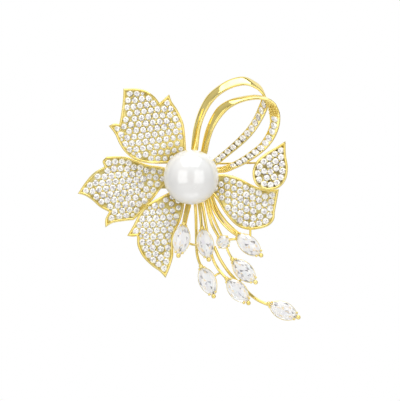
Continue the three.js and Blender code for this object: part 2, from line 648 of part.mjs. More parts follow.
// The rotor turns inside the housing, held by a flange at each end. Its tab is for the thumb.
function catchRotor() {
  const flangeX = HOUSING_LENGTH / 2 + 0.1 + FLANGE_THICK / 2;
  const drum = solid(cylinder(ROTOR_R[1], 2 * flangeX, "x", 24));
  const flanges = [-1, 1].map((side) =>
    solid(cylinder(FLANGE_R, FLANGE_THICK, "x", 24).translate(side * flangeX, 0, 0)));
  const [tabStart, tabEnd] = [flangeX - FLANGE_THICK / 2, flangeX + FLANGE_THICK / 2];
  const tab = solid(block([tabStart, -0.45, -TAB_REACH], [tabEnd, 0.45, -1]));
  const bore = solid(cylinder(ROTOR_R[0], 6, "x", 24));
  return trim(join(drum, ...flanges, tab), bore, mouth(3));
}

add(root, "catch_housing", geometryOf(catchHousing()), gold).position.set(CATCH_X, PIN_Y, 0);
add(root, "catch_rotor", geometryOf(catchRotor()), gold).position.set(CATCH_X, PIN_Y, 0);

export default root;
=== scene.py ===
"""Looks of the flower spray brooch. Shapes are given in millimetres in the flower's own axes, whose Y axis is
the axis of the pearl, and are moved into the frame's metres when a piece is made. The front faces -Y."""
import math

import bpy
import numpy as np
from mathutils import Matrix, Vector


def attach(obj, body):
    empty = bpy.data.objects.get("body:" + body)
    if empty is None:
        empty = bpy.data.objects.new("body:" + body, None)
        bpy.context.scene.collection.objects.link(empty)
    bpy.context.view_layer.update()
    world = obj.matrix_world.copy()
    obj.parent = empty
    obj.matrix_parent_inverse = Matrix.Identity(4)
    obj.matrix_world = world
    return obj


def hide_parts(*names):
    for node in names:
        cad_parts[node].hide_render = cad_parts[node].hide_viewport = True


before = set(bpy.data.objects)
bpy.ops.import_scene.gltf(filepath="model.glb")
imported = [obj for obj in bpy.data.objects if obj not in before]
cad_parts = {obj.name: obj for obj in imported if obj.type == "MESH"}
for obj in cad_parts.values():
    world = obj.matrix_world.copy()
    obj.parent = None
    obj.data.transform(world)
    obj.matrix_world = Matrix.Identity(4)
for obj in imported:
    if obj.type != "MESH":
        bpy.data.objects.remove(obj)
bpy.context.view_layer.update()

MM = 0.001
FLOWER_AXIS = np.array([2.0, 0.0, 1.3])

# ---- camera ------------------------------------------------------------------------------------------------
VIEW_WIDTH = 87.2
CAMERA_DISTANCE = 1000.0
CAMERA_AIM = np.array([1.92, -8.6, -5.1])


def to_row(point):
    return (np.asarray(point, float) + FLOWER_AXIS) * MM


def make_camera():
    data = bpy.data.cameras.new("camera")
    data.sensor_width = 36
    data.lens = data.sensor_width * CAMERA_DISTANCE / VIEW_WIDTH
    data.clip_start = 0.01
    data.clip_end = 20
    camera = bpy.data.objects.new("camera", data)
    bpy.context.scene.collection.objects.link(camera)
    camera.location = to_row(CAMERA_AIM - np.array([0, CAMERA_DISTANCE, 0]))
    camera.rotation_euler = (math.pi / 2, 0, 0)
    bpy.context.scene.camera = camera


make_camera()
bpy.context.scene.view_settings.view_transform = "Standard"


# ---- materials ---------------------------------------------------------------------------------------------
class Material:
    """A Principled material with helpers that add noise to its colour, roughness and surface."""

    def __init__(self, name, **sockets):
        self.material = bpy.data.materials.new(name)
        self.material.use_nodes = True
        self.nodes = self.material.node_tree.nodes
        self.links = self.material.node_tree.links
        self.shader = self.nodes["Principled BSDF"]
        self.coordinates = self.nodes.new("ShaderNodeTexCoord")
        for socket, value in sockets.items():
            self.shader.inputs[socket.replace("_", " ")].default_value = value

    def noise(self, per_mm, detail=3):
        node = self.nodes.new("ShaderNodeTexNoise")
        node.inputs["Scale"].default_value = per_mm / MM
        node.inputs["Detail"].default_value = detail
        self.links.new(self.coordinates.outputs["Object"], node.inputs["Vector"])
        return node.outputs["Fac"]

    def ramp(self, source, stops, constant=False):
        node = self.nodes.new("ShaderNodeValToRGB")
        ramp = node.color_ramp
        ramp.interpolation = "CONSTANT" if constant else "LINEAR"
        while len(ramp.elements) < len(stops):
            ramp.elements.new(1)
        for element, (place, colour) in zip(ramp.elements, stops):
            element.position = place
            element.color = (*colour, 1)
        self.links.new(source, node.inputs["Fac"])
        return node.outputs["Color"]

    def colour(self, source, stops, constant=False):
        self.links.new(self.ramp(source, stops, constant), self.shader.inputs["Base Color"])
        return self

    def roughness(self, source, low, high):
        node = self.nodes.new("ShaderNodeMapRange")
        node.inputs["To Min"].default_value = low
        node.inputs["To Max"].default_value = high
        self.links.new(source, node.inputs["Value"])
        self.links.new(node.outputs["Result"], self.shader.inputs["Roughness"])
        return self

    def bump(self, source, height_mm):
        node = self.nodes.new("ShaderNodeBump")
        node.inputs["Distance"].default_value = height_mm * MM
        self.links.new(source, node.inputs["Height"])
        self.links.new(node.outputs["Normal"], self.shader.inputs["Normal"])
        return self


def gold_material(name, dark, light, rough, bump_mm, patches=0.25):
    gold = Material(name, Metallic=1.0)
    gold.colour(gold.noise(patches), [(0.35, dark), (0.65, light)])
    gold.roughness(gold.noise(0.9), *rough)
    gold.bump(gold.noise(1.4, detail=2), bump_mm)
    return gold.material


def stone_material():
    """Cut stones too small to look into. Each facet's base colour is a painted reflection or painted shade:
    white, lilac-grey, grey, gold, pale blue or near-black.
    """
    stone = Material("pave_stone", IOR=2.1, Roughness=0.08)
    facet = stone.nodes.new("ShaderNodeAttribute")
    facet.attribute_name = "facet"
    stone.colour(facet.outputs["Fac"], [
        (0.0, (0.99, 0.99, 0.93)), (0.4, (0.78, 0.74, 0.78)), (0.52, (0.46, 0.44, 0.43)),
        (0.64, (0.92, 0.86, 0.46)), (0.82, (0.36, 0.34, 0.24)), (0.9, (0.76, 0.86, 0.86)),
        (0.94, (0.12, 0.09, 0.05)),
    ], constant=True)
    stone.roughness(stone.noise(2.0), 0.05, 0.11)
    return stone.material


def crystal_material():
    """Clear stones large enough to see into. They let a little light through, and each facet's base colour is
    a painted reflection or painted shade: mostly white, with some grey, peach, pale blue and dark.
    """
    crystal = Material("clear_stone", IOR=1.7, Transmission_Weight=0.25)
    facet = crystal.nodes.new("ShaderNodeAttribute")
    facet.attribute_name = "facet"
    crystal.colour(facet.outputs["Fac"], [
        (0.0, (1.0, 1.0, 1.0)), (0.4, (0.92, 0.91, 0.96)), (0.56, (1.0, 1.0, 1.0)),
        (0.76, (0.55, 0.55, 0.58)), (0.84, (0.98, 0.8, 0.52)), (0.9, (0.9, 0.96, 1.0)),
        (0.955, (0.28, 0.27, 0.28)),
    ], constant=True)
    crystal.roughness(crystal.noise(1.5), 0.0, 0.02)
    return crystal.material


def pearl_material():
    pearl = Material("pearl_lustre", IOR=1.6, Coat_Weight=1.0, Coat_Roughness=0.14, Coat_IOR=2.0)
    pearl.colour(pearl.noise(0.09, detail=2), [(0.3, (0.79, 0.78, 0.76)), (0.5, (0.82, 0.81, 0.79)),
                                               (0.7, (0.78, 0.795, 0.79))])
    pearl.roughness(pearl.noise(0.6), 0.2, 0.3)
    pearl.bump(pearl.noise(0.35), 0.004)
    return pearl.material


GOLD = gold_material("polished_gold", (0.88, 0.69, 0.2), (0.97, 0.82, 0.33), (0.06, 0.12), 0.004)
SATIN = gold_material("satin_gold", (0.86, 0.69, 0.24), (0.93, 0.78, 0.33), (0.24, 0.32), 0.006)
BED = gold_material("cast_gold_bed", (0.6, 0.47, 0.13), (0.98, 0.84, 0.34), (0.25, 0.4), 0.02, patches=0.7)
# The curl's bed is painted from near-black to dull gold: painted shade in the gaps between its stones.
CURL_SHADED_BED = gold_material("curl_bed_painted_shade", (0.12, 0.08, 0.03), (0.7, 0.56, 0.2), (0.25, 0.4), 0.02,
                         patches=0.9)
# Near-black gold for the last bars of the ribbon channels: painted shade between the stones.
GAP_SHADE_GOLD = gold_material("gap_painted_shade", (0.05, 0.04, 0.02), (0.16, 0.13, 0.06), (0.3, 0.45), 0.02,
                         patches=0.8)
STONE = stone_material()
CRYSTAL = crystal_material()
PEARL = pearl_material()


# ---- mesh helpers ------------------------------------------------------------------------------------------
class Shape:
    """Points and faces gathered for one piece. facets holds a painted reflection or painted shade for each
    face of a cut stone.
    """

    def __init__(self):
        self.points = []
        self.faces = []
        self.facets = []

    def add(self, points, faces, facets=None):
        start = len(self.points)
        self.points.extend(np.asarray(points, float))
        self.faces.extend([tuple(start + i for i in face) for face in faces])
        self.facets.extend(facets if facets is not None else [0.0] * len(faces))
        return self


def make_piece(name, shape, material, replaces=(), smooth=60, body="brooch"):
    """Makes an object of a Shape. Edges sharper than smooth degrees stay sharp; 0 leaves every facet flat."""
    mesh = bpy.data.meshes.new(name)
    mesh.from_pydata([tuple(to_row(p)) for p in shape.points], [], shape.faces)
    mesh.update()
    if any(shape.facets):
        facet = mesh.attributes.new("facet", "FLOAT", "FACE")
        facet.data.foreach_set("value", shape.facets)
    mesh.polygons.foreach_set("use_smooth", [smooth > 0] * len(mesh.polygons))
    if smooth:
        mesh.set_sharp_from_angle(angle=math.radians(smooth))
    mesh.materials.append(material)
    piece = bpy.data.objects.new(name, mesh)
    bpy.context.scene.collection.objects.link(piece)
    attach(piece, body)
    if replaces:
        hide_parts(*replaces)
    return piece


def unit(vector):
    return vector / (np.linalg.norm(vector) + 1e-12)


def loft(shape, rings, closed=False, caps=True):
    """Skins rings of equal length. closed joins the last ring to the first."""
    count = len(rings[0])
    spans = len(rings) if closed else len(rings) - 1
    faces = []
    for i in range(spans):
        a, b = i * count, ((i + 1) % len(rings)) * count
        for j in range(count):
            k = (j + 1) % count
            faces.append((a + j, a + k, b + k, b + j))
    if caps and not closed:
        faces.append(tuple(range(count))[::-1])
        faces.append(tuple(range(len(rings) * count - count, len(rings) * count)))
    shape.add(np.concatenate(rings), faces)


def spline(points, step):
    """Catmull-Rom curve through points, sampled about every step mm, both ends included."""
    points = np.asarray(points, float)
    padded = np.vstack([2 * points[0] - points[1], points, 2 * points[-1] - points[-2]])
    out = []
    for a, b, c, d in zip(padded, padded[1:], padded[2:], padded[3:]):
        count = max(1, round(np.linalg.norm(c - b) / step))
        for t in np.arange(count) / count:
            out.append(0.5 * (2 * b + (c - a) * t + (2 * a - 5 * b + 4 * c - d) * t**2
                              + (3 * b - a - 3 * c + d) * t**3))
    out.append(points[-1])
    return np.array(out)


def tube(shape, path, radius, sides=14, closed=False, dome=True):
    """A round wire. radius is one number or one for each point of the path; dome rounds both ends."""
    path = np.asarray(path, float)
    radii = np.broadcast_to(radius, len(path)).astype(float)
    ahead = np.roll(path, -1, axis=0) - np.roll(path, 1, axis=0)
    if not closed:
        ahead[0] = path[1] - path[0]
        ahead[-1] = path[-1] - path[-2]
        if dome:
            start, end = unit(ahead[0]) * radii[0], unit(ahead[-1]) * radii[-1]
            path = np.vstack([path[0] - start * 0.45, path[0] - start * 0.3,
                              path, path[-1] + end * 0.3, path[-1] + end * 0.45])
            first, last = radii[0], radii[-1]
            radii = np.concatenate([[first * 0.3, first * 0.75], radii, [last * 0.75, last * 0.3]])
            ahead = np.vstack([ahead[0], ahead[0], ahead, ahead[-1], ahead[-1]])
    side = unit(np.cross(ahead[0], [0.13, 1, 0.07]))
    angles = np.arange(sides) * 2 * math.pi / sides
    rings = []
    for point, direction, r in zip(path, ahead, radii):
        direction = unit(direction)
        side = unit(side - direction * side.dot(direction))
        up = np.cross(direction, side)
        rings.append(point + r * (np.outer(np.cos(angles), side) + np.outer(np.sin(angles), up)))
    loft(shape, rings, closed=closed)


def ball(shape, centre, radius, stretch=(1, 1, 1), rows=8, sides=14):
    """A bead with its poles along Y."""
    points = [[0, -1, 0]]
    for i in range(1, rows):
        a = math.pi * i / rows
        points += [[math.sin(a) * math.cos(b), -math.cos(a), math.sin(a) * math.sin(b)]
                   for b in np.arange(sides) * 2 * math.pi / sides]
    points.append([0, 1, 0])
    faces = []
    last = len(points) - 1
    for j in range(sides):
        k = (j + 1) % sides
        faces.append((0, 1 + j, 1 + k))
        faces.append((last, last - sides + k, last - sides + j))
        for i in range(rows - 2):
            a = 1 + i * sides
            faces.append((a + j, a + sides + j, a + sides + k, a + k))
    shape.add(np.array(points) * radius * np.array(stretch) + np.asarray(centre), faces)


# ---- cut stones --------------------------------------------------------------------------------------------
SEED = 7
random = np.random.default_rng(SEED)
# The lowest and highest painted reflection or painted shade of a small stone's facets, as places on the stone
# material's ramp.
TABLE_SHADES = (0.32, 0.64)
CROWN_SHADES = (0.0, 0.6)
EDGE_SHADES = (0.35, 1.0)


def facet_shades(count, low=0.0, high=1.0):
    return random.uniform(low, high, count).tolist()


def brilliant(shape, centre, axes, radius):
    """A round brilliant. axes are two across the stone and one out of its table. Its facets carry painted
    reflections
    and painted shade: the crown facets are the brightest, the table is a little greyer and the facets next to
    the setting are mixed."""
    across, up, out = axes

    def ring(count, share, height, shift=0.0):
        angles = (np.arange(count) + shift) * 2 * math.pi / count
        return (centre + radius * share * (np.outer(np.cos(angles), across) + np.outer(np.sin(angles), up))
                + out * height * radius)

    table = ring(8, 0.5, 0.36)
    crown = ring(8, 0.8, 0.22, 0.5)
    girdle = ring(16, 1.0, 0.0, 0.5)
    points = np.vstack([table, crown, girdle, [centre + out * 0.3 * radius], [centre - out * 0.7 * radius]])
    table_faces, crown_faces, edge_faces = [], [], []
    for j in range(8):
        k = (j + 1) % 8
        table_faces.append((j, k, 32))
        crown_faces.append((j, 8 + j, k))
        crown_faces.append((k, 8 + j, 16 + 2 * j + 1, 8 + k))
        edge_faces.append((8 + j, 16 + 2 * j, 16 + 2 * j + 1))
        edge_faces.append((8 + k, 16 + 2 * j + 1, 16 + (2 * j + 2) % 16))
        edge_faces.append((16 + 2 * j, 33, 16 + 2 * j + 1))
        edge_faces.append((16 + 2 * j + 1, 33, 16 + (2 * j + 2) % 16))
    shades = [*facet_shades(len(table_faces), *TABLE_SHADES), *facet_shades(len(crown_faces), *CROWN_SHADES),
              *facet_shades(len(edge_faces), *EDGE_SHADES)]
    shape.add(points, [*table_faces, *crown_faces, *edge_faces], shades)


def marquise_point(angle, half_length, half_width):
    """A point of an outline that is drawn to a point at both ends."""
    s = math.sin(angle)
    return np.array([half_length * math.cos(angle), half_width * math.copysign(abs(s) ** STONE_FULLNESS, s)])


# Rings of a large stone: share of the outline, and share of the height to the table (+) or the culet (-).
CROWN_RINGS = ((0.4, 1.0), (0.6, 0.86), (0.8, 0.5), (1.0, 0.0))
PAVILION_RINGS = ((1.0, -0.06), (0.8, -0.4), (0.56, -0.66), (0.3, -0.86), (0.08, -1.0))
FACETS_ROUND = 14
FACET_JITTER = 0.1
TABLE_RISE = 0.05


def cut_stone(shape, outline, place, table_y, culet_y):
    """A clear stone with triangular facets. outline(angle, share) gives its plan and place moves it."""
    rings = []
    for index, (share, height) in enumerate(CROWN_RINGS + PAVILION_RINGS):
        ring = []
        for j in range(FACETS_ROUND):
            angle = (j + 0.5 * (index % 2)) * 2 * math.pi / FACETS_ROUND
            x, z = outline(angle, share)
            uneven = 1 + (FACET_JITTER * random.uniform(-1, 1) if 0 > height > -1 else 0)
            ring.append([x, (table_y if height > 0 else -culet_y) * height * uneven, z])
        rings.append(ring)
    middle = len(rings) * FACETS_ROUND
    faces = [(j, (j + 1) % FACETS_ROUND, middle) for j in range(FACETS_ROUND)]
    for index in range(len(rings) - 1):
        a, b = index * FACETS_ROUND, (index + 1) * FACETS_ROUND
        for j in range(FACETS_ROUND):
            k = (j + 1) % FACETS_ROUND
            if index % 2:
                faces += [(a + j, b + j, b + k), (a + j, b + k, a + k)]
            else:
                faces += [(a + j, b + j, a + k), (b + j, b + k, a + k)]
    faces.append(tuple(range((len(rings) - 1) * FACETS_ROUND, len(rings) * FACETS_ROUND))[::-1])
    points = np.concatenate([*rings, [[0, table_y - TABLE_RISE, 0]]])
    # Each face gets a random painted reflection or painted shade from the clear stone material's ramp.
    shape.add(place(points), [face[::-1] for face in faces], facet_shades(len(faces)))


# ---- petals ------------------------------------------------------------------------------------------------
PETAL_THICK = 0.9
BED_SINK = 0.12
BACK_START = 0.4
RIM_HALF = 0.29
RIM_LIFT, RIM_DEPTH = 0.12, 0.42
STONE_R = 0.74
STONE_PITCH = 1.56
FILL_RADII = (0.7, 0.6, 0.48, 0.38)
BEAD_R = 0.2
# Stones within SMALLER_REACH of the pearl's edge shrink towards it, by up to the share SMALLER_BY.
SMALLER_REACH = 5.0
SMALLER_BY = 0.18
PEARL_R = 6.0
BASE_Y, BASE_R, RISE_R, ROLL = -2.9, 3.5, 9.0, 0.01

PETALS = {
    "petal_upper_left": dict(
        centre=(-9, 10.5), axis=(-0.62, 0.785), rise=3.0, stone_r=0.69,
        edges=[
            [(-1.1, 4.3), (-1.15, 6.8), (-1.35, 9.5), (-1.75, 12), (-3, 14.7), (-4.2, 16.5), (-4.8, 18.1)],
            [(-4.8, 18.1), (-5.8, 17.2), (-6.9, 16.2)],
            [(-6.9, 16.2), (-8.1, 17.7), (-10, 18.9), (-12.2, 19.35), (-14.8, 19.3)],
            [(-14.8, 19.3), (-14.9, 17), (-15.3, 13.8), (-15.7, 11.6)],
            [(-15.7, 11.6), (-16.8, 11.7), (-18, 11.2)],
            [(-18, 11.2), (-16.6, 9.3), (-15.6, 7.1), (-14, 5), (-11.6, 3.5), (-8.5, 2.95), (-4.2, 2.95)],
            [(-4.2, 2.95), (-2.8, 3.4), (-1.1, 4.3)],
        ]),
    "petal_left": dict(
        centre=(-14, -2), axis=(-0.99, -0.13), rise=0.9,
        edges=[
            [(-4.5, 1.9), (-7, 2.4), (-9.5, 2.75), (-12, 3.7), (-13.9, 4.4), (-16, 4.6), (-18.5, 4.5)],
            [(-18.5, 4.5), (-19.4, 3.5), (-19, 2.35)],
            [(-19, 2.35), (-21.4, 0.9), (-23.3, -1.3), (-24.8, -3.6)],
            [(-24.8, -3.6), (-23.2, -4.05), (-21.7, -5), (-19.9, -6.6), (-18, -7.6)],
            [(-18, -7.6), (-18.8, -9.2), (-18.8, -11)],
            [(-18.8, -11), (-17.2, -10.05), (-15, -9.65), (-12.6, -9.4)],
            [(-12.6, -9.4), (-10.8, -7.7), (-8.6, -5.2), (-6.9, -2.9), (-5.6, -1.3), (-4.6, -0.5)],
            [(-4.6, -0.5), (-4.2, 0.7), (-4.5, 1.9)],
        ]),
    "petal_lower_left": dict(
        centre=(-7.5, -11.5), axis=(-0.45, -0.893), rise=3.0,
        edges=[
            [(-4.1, -2.9), (-5.2, -3.5), (-7.5, -4.7), (-9.8, -6.1), (-11.4, -8.1), (-12.7, -10.6),
             (-14, -12.8)],
            [(-14, -12.8), (-12.9, -13), (-11.85, -12.9)],
            [(-11.85, -12.9), (-11.7, -15), (-10.6, -17.3), (-8.7, -19.3), (-6.9, -20.6), (-5.6, -22)],
            [(-5.6, -22), (-4.6, -19.6), (-3.9, -17.1), (-3.9, -14.3), (-3.4, -11.8), (-2.4, -9.7),
             (-1.7, -7.2), (-1.4, -4.7)],
            [(-1.4, -4.7), (-2.8, -3.9), (-4.1, -2.9)],
        ]),
    "petal_right": dict(
        centre=(12, -5.5), axis=(0.9, -0.436), rise=2.0,
        edges=[
            [(4.3, 0.5), (6, 0.65), (8, 0.55), (10.5, -0.2), (13, -1.5), (15, -2.3), (17.2, -2.7),
             (19.2, -2.6)],
            [(19.2, -2.6), (18.8, -4.8), (18.35, -7.2), (18.1, -9.2), (16.9, -10.6), (14.8, -11.3),
             (12.3, -11.5), (9.8, -10.5), (7.4, -7.9), (5.7, -5.1), (4, -3.1)],
            [(4, -3.1), (4.3, -1.3), (4.3, 0.5)],
        ]),
    # The curl's bed uses the darker material that carries painted shade.
    "petal_right_curl": dict(
        centre=(17.3, 1.2), fold_z=-2.8, fold_y=-6.6, lean=0.14, cup=0.02, pitch=1.6, fill=(0.7, 0.52),
        bed=CURL_SHADED_BED,
        edges=[
            [(20.6, 7.9), (18.6, 6.6), (16.2, 5.2), (14.2, 3.4), (13.35, 1.2), (13.8, -1.2), (15.3, -2.5),
             (17.2, -2.85), (19.3, -2.2), (20.7, -0.4), (21.1, 2), (20.7, 4.8), (20.6, 7.9)],
        ]),
}


def petal_y(petal, x, z):
    """Depth of the front of a petal's stone bed."""
    if "fold_z" in petal:
        across = x - petal["centre"][0]
        return petal["fold_y"] + petal["lean"] * (z - petal["fold_z"]) - petal["cup"] * across**2
    out = np.clip((np.hypot(x, z) - BASE_R) / RISE_R, 0, 1)
    across = z * petal["axis"][0] - x * petal["axis"][1]
    return BASE_Y - petal["rise"] * np.sin(out * math.pi / 2) + ROLL * across**2


def outline_of(petal, step=0.3):
    return np.vstack([spline(edge, step)[:-1] for edge in petal["edges"]])


def inset_of(outline, distance):
    """The outline moved inwards, square to its edges, with its corners mitred."""
    ahead = np.roll(outline, -1, axis=0) - outline
    ahead /= np.linalg.norm(ahead, axis=1)[:, None]
    behind = np.roll(ahead, 1, axis=0)
    area = np.sum(outline[:, 0] * np.roll(outline[:, 1], -1) - np.roll(outline[:, 0], -1) * outline[:, 1])
    turn = 1 if area > 0 else -1
    inward = turn * np.column_stack([-(ahead + behind)[:, 1], (ahead + behind)[:, 0]])
    inward /= np.linalg.norm(inward, axis=1)[:, None]
    square = turn * np.column_stack([-ahead[:, 1], ahead[:, 0]])
    mitre = np.clip(np.sum(inward * square, axis=1), 0.45, 1)
    return outline + inward * (distance / mitre)[:, None]


def lifted(petal, flat, depth):
    return np.column_stack([flat[:, 0], petal_y(petal, flat[:, 0], flat[:, 1]) + depth, flat[:, 1]])


def inside(outline, points):
    """Which points lie inside a closed outline."""
    x, z = points[:, 0][:, None], points[:, 1][:, None]
    x0, z0 = outline[:, 0][None], outline[:, 1][None]
    x1, z1 = np.roll(x0, -1, axis=1), np.roll(z0, -1, axis=1)
    crosses = ((z0 > z) != (z1 > z)) & (x < (x1 - x0) * (z - z0) / (z1 - z0 + 1e-12) + x0)
    return np.sum(crosses, axis=1) % 2 == 1


def edge_distance(outline, points):
    """Distance and direction from each point to the nearest point of a closed outline."""
    start, end = outline, np.roll(outline, -1, axis=0)
    span = end - start
    share = np.einsum("ijk,jk->ij", points[:, None] - start[None], span) / np.sum(span**2, axis=1)[None]
    nearest = start[None] + np.clip(share, 0, 1)[..., None] * span[None]
    away = points[:, None] - nearest
    gap = np.linalg.norm(away, axis=2)
    index = np.argmin(gap, axis=1)
    rows = np.arange(len(points))
    return gap[rows, index], away[rows, index]


def relaxed(points, outline, margin, pitch, rounds):
    """Pushes points apart to pitch, and back inside the outline by margin."""
    for _ in range(rounds):
        apart = points[:, None] - points[None]
        gap = np.linalg.norm(apart, axis=2) + np.eye(len(points)) * 99
        push = np.clip(pitch - gap, 0, None) / gap
        points = points + 0.3 * np.sum(apart * push[..., None], axis=1)
        gap, away = edge_distance(outline, points)
        out = ~inside(outline, points)
        short = np.where(out, margin + gap, np.clip(margin - gap, 0, None))
        sign = np.where(out, -1, 1)
        points = points + away / (gap[:, None] + 1e-9) * (sign * short)[:, None]
    return points


def candidates(outline, margin, step=0.15):
    """A fine grid of points that lie inside the outline by at least margin."""
    low, high = outline.min(axis=0), outline.max(axis=0)
    columns, rows = np.arange(low[0], high[0], step), np.arange(low[1], high[1], step)
    grid = np.stack(np.meshgrid(columns, rows), -1).reshape(-1, 2)
    grid = grid[inside(outline, grid)]
    gap, _ = edge_distance(outline, grid)
    return grid[gap > margin]


def packed_stones(petal, outline):
    """Stone centres and radii: staggered rows along the petal, then smaller stones in what is left."""
    rim = RIM_HALF * 1.7
    stone_r = petal.get("stone_r", STONE_R)
    points = packed_points(petal, outline, rim + stone_r * 0.9, petal.get("pitch", STONE_PITCH))
    radii = np.full(len(points), stone_r)
    for radius in petal.get("fill", FILL_RADII):
        grid = candidates(outline, rim + radius * 0.85)
        while len(grid):
            room = np.min(np.linalg.norm(grid[:, None] - points[None], axis=2) - radii[None], axis=1)
            best = int(np.argmin(np.where(room > radius * 1.02, room, np.inf)))
            if room[best] <= radius * 1.02:
                break
            points = np.vstack([points, grid[best]])
            radii = np.append(radii, radius)
            grid = grid[room > radius * 1.02]
    return points, radii


def packed_points(petal, outline, margin, pitch):
    """Staggered rows along the petal, pushed apart until they fill it evenly."""
    angle = math.atan2(*petal.get("axis", (0.45, 0.9))[::-1])
    turn = np.array([[math.cos(angle), -math.sin(angle)], [math.sin(angle), math.cos(angle)]])
    reach = np.arange(-18, 19)
    grid = np.array([[(i + 0.5 * (j % 2)) * pitch, j * pitch * 0.87] for i in reach for j in reach])
    points = grid @ turn.T + np.array(petal["centre"])
    gap, _ = edge_distance(outline, points)
    points = points[inside(outline, points) & (gap > margin * 0.45)]
    return relaxed(points, outline, margin, pitch, rounds=80)


def surface_axes(petal, x, z):
    """Two axes along the bed and one out of its front."""
    step = 0.05
    slope_x = (petal_y(petal, x + step, z) - petal_y(petal, x - step, z)) / (2 * step)
    slope_z = (petal_y(petal, x, z + step) - petal_y(petal, x, z - step)) / (2 * step)
    across = unit(np.array([1, slope_x, 0]))
    out = unit(np.array([slope_x, -1, slope_z]))
    return across, np.cross(out, across), out


def bead_points(points, pitch):
    """Middles of the triangles between neighbouring stones."""
    found = []
    for i, j, k in neighbours_of(points, pitch * 1.3):
        found.append((points[i] + points[j] + points[k]) / 3)
    return np.array(found)


def neighbours_of(points, reach):
    gap = np.linalg.norm(points[:, None] - points[None], axis=2)
    near = gap < reach
    for i in range(len(points)):
        for j in range(i + 1, len(points)):
            if near[i, j]:
                for k in range(j + 1, len(points)):
                    if near[i, k] and near[j, k]:
                        yield i, j, k


def petal_slab(petal, outline, front_depth, back_depth):
    """A slab under the rim that follows the petal, from one depth behind its front to another."""
    slab = Shape()
    centre = np.array(petal["centre"])
    inner = inset_of(outline, RIM_HALF * 1.2)
    edge = inset_of(outline, RIM_HALF * 0.35)
    shares = (0.92, 0.7, 0.45, 0.2, 0.0)
    front = [lifted(petal, inner + (centre - inner) * share, front_depth) for share in shares]
    back = [lifted(petal, inner + (centre - inner) * share, back_depth) for share in shares[::-1]]
    soft = 0.25 * (back_depth - front_depth)
    sides = [lifted(petal, edge, front_depth + soft), lifted(petal, edge, back_depth - soft)]
    loft(slab, [*front, *sides, *back])
    return slab


def petal_rim(petal, outline):
    rim = Shape()
    middle = inset_of(outline, RIM_HALF)
    rings = []
    for angle in np.arange(12) * math.pi / 6:
        flat = middle + (outline - middle) * math.cos(angle)
        rings.append(lifted(petal, flat, RIM_LIFT + math.sin(angle) * RIM_DEPTH))
    loft(rim, [np.array(ring) for ring in np.array(rings).transpose(1, 0, 2)], closed=True)
    return rim


def make_petal(name, petal):
    outline = outline_of(petal)
    bed = petal_slab(petal, outline, BED_SINK, BACK_START)
    make_piece(f"{name}_bed", bed, petal.get("bed", BED), replaces=[name])
    back = petal_slab(petal, outline, BACK_START, PETAL_THICK * 0.98)
    make_piece(f"{name}_back", back, SATIN)
    make_piece(f"{name}_rim", petal_rim(petal, outline), GOLD)
    stones, beads = Shape(), Shape()
    points, radii = packed_stones(petal, outline)
    for (x, z), full_radius in zip(points, radii):
        near_pearl = 1 - np.clip((math.hypot(x, z) - PEARL_R) / SMALLER_REACH, 0, 1)
        radius = full_radius * random.uniform(0.95, 1.03) * (1 - SMALLER_BY * near_pearl)
        across, up, out = surface_axes(petal, x, z)
        spin = random.uniform(0, math.pi / 4)
        across, up = (across * math.cos(spin) + up * math.sin(spin),
                      up * math.cos(spin) - across * math.sin(spin))
        seat = np.array([x, petal_y(petal, x, z) + 0.02, z])
        brilliant(stones, seat, (across, up, out), radius)
    for x, z in bead_points(points, petal.get("pitch", STONE_PITCH)):
        ball(beads, [x, petal_y(petal, x, z) - 0.02, z], BEAD_R * random.uniform(0.85, 1.15), rows=5, sides=8)
    make_piece(f"{name}_stones", stones, STONE, smooth=0)
    make_piece(f"{name}_beads", beads, GOLD)


for petal_name, petal_data in PETALS.items():
    make_petal(petal_name, petal_data)

# ---- pearl and cup -----------------------------------------------------------------------------------------
PEARL_Y = -8.6
DRILL_R = 0.5
PEARL_SIDES = 96


def make_pearl():
    shape = Shape()
    stop = math.asin(DRILL_R / PEARL_R)
    profile = [(PEARL_R * math.sin(a), -PEARL_R * math.cos(a)) for a in np.linspace(0.02, math.pi - stop, 48)]
    profile += [(DRILL_R, 4.0), (DRILL_R, 2.0)]
    turns = np.arange(PEARL_SIDES) * 2 * math.pi / PEARL_SIDES
    rings = [np.column_stack([r * np.cos(turns), np.full(PEARL_SIDES, PEARL_Y + y), r * np.sin(turns)])
             for r, y in profile]
    loft(shape, rings)
    make_piece("pearl_ball", shape, PEARL, replaces=["pearl"])


make_pearl()

# ---- ribbon ------------------------------------------------------------------------------------------------
RIBBON_STEP = 0.3
RAIL_R = 0.1
ROLLED_EDGE_R = 0.29
